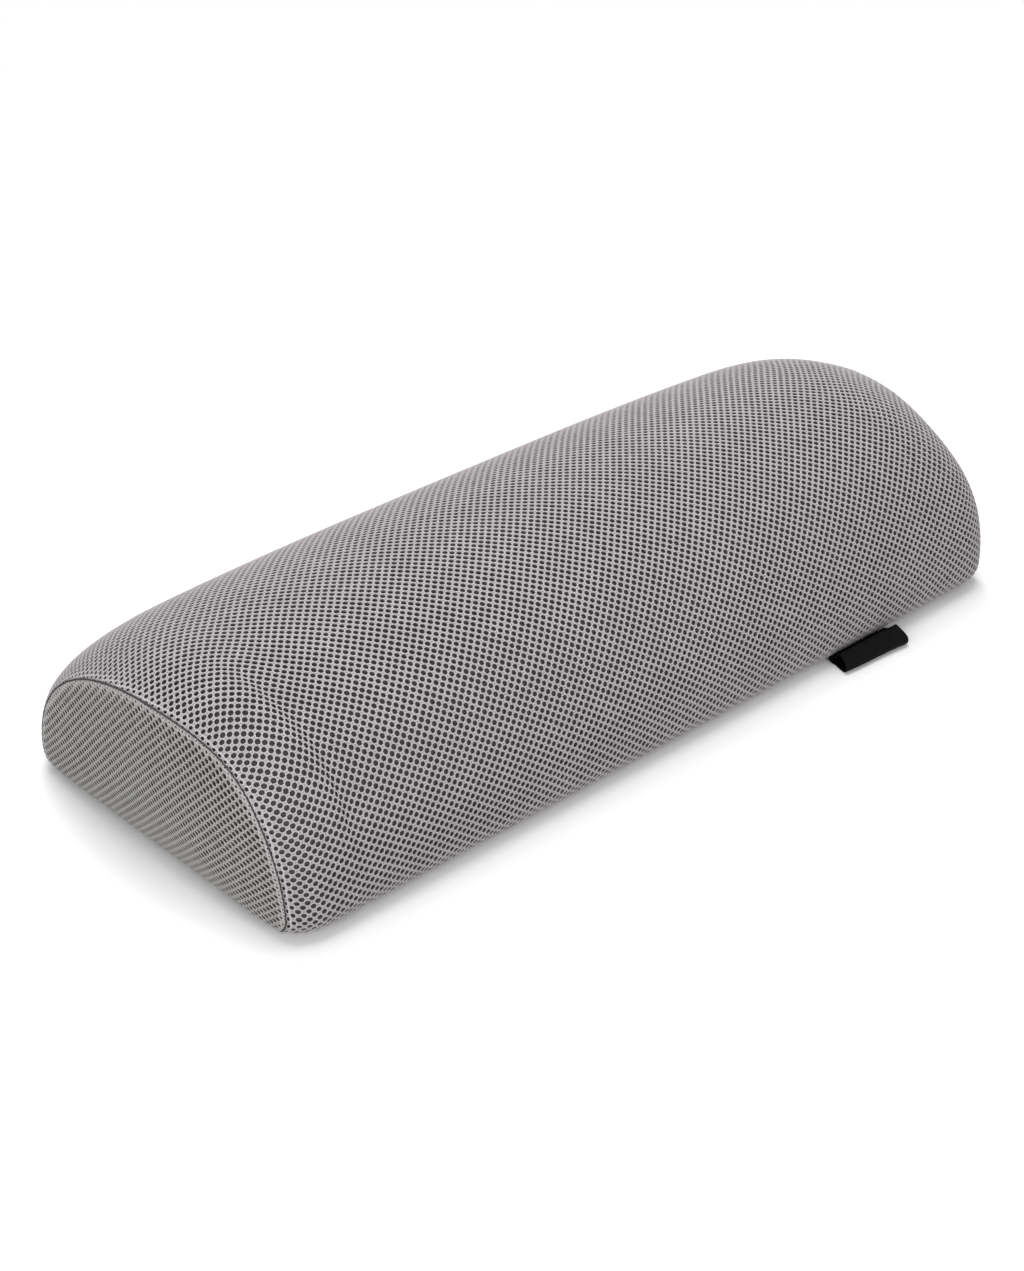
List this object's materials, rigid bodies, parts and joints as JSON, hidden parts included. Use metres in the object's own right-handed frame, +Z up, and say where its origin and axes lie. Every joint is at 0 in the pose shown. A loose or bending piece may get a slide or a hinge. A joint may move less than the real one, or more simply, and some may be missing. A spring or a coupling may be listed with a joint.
{
  "type": "half moon pillow",
  "caption": "Half moon bolster pillow with a flat base: foam core, inner liner and zipped grey air mesh cover, with a black ribbon loop in the front seam.",
  "frame": {"origin": "middle of the flat base, on the surface the pillow lies on", "axes": "+X along the pillow, so that -X is the end panel seen in the picture; -Y is the long side with the ribbon loop and +Y the side with the zip; +Z up"},
  "size_m": [0.5204, 0.2379, 0.1087],
  "materials": {
    "air_mesh": "perforated spacer mesh, matt grey",
    "liner_knit": "thin off-white knit",
    "foam": "moulded cream foam",
    "ribbon": "black woven ribbon, left bare",
    "zip_tape": "dark grey woven tape",
    "zip_teeth": "dark grey nylon",
    "zip_metal": "grey enamelled zinc"
  },
  "bodies": {
    "pillow": {"foam_core": "foam", "liner_wrap": "liner_knit", "liner_end_left": "liner_knit", "liner_end_right": "liner_knit", "cover_crown": "air_mesh", "cover_base": "air_mesh", "cover_end_left": "air_mesh", "cover_end_right": "air_mesh", "loop_label": "ribbon", "zip_tape_upper": "zip_tape", "zip_tape_lower": "zip_tape", "zip_teeth_upper": "zip_teeth", "zip_teeth_lower": "zip_teeth", "zip_end_stop": "zip_metal", "zip_top_stop_upper": "zip_metal", "zip_top_stop_lower": "zip_metal"},
    "slider": {"zip_slider_body": "zip_metal"},
    "pull": {"zip_pull_tab": "zip_metal"}
  },
  "joints": [
    {"name": "zip_slide", "type": "slide", "parent": "pillow", "child": "slider", "axis": [-1, 0, 0], "range_m": [0, 0.382], "deforming": ["zip_teeth_upper", "zip_teeth_lower"]},
    {"name": "pull_swing", "type": "hinge", "parent": "slider", "child": "pull", "pos_m": [0.1925, 0.11199, 0.02211], "axis": [0, 0.0553, -0.9985], "range_deg": [0, 170]}
  ]
}
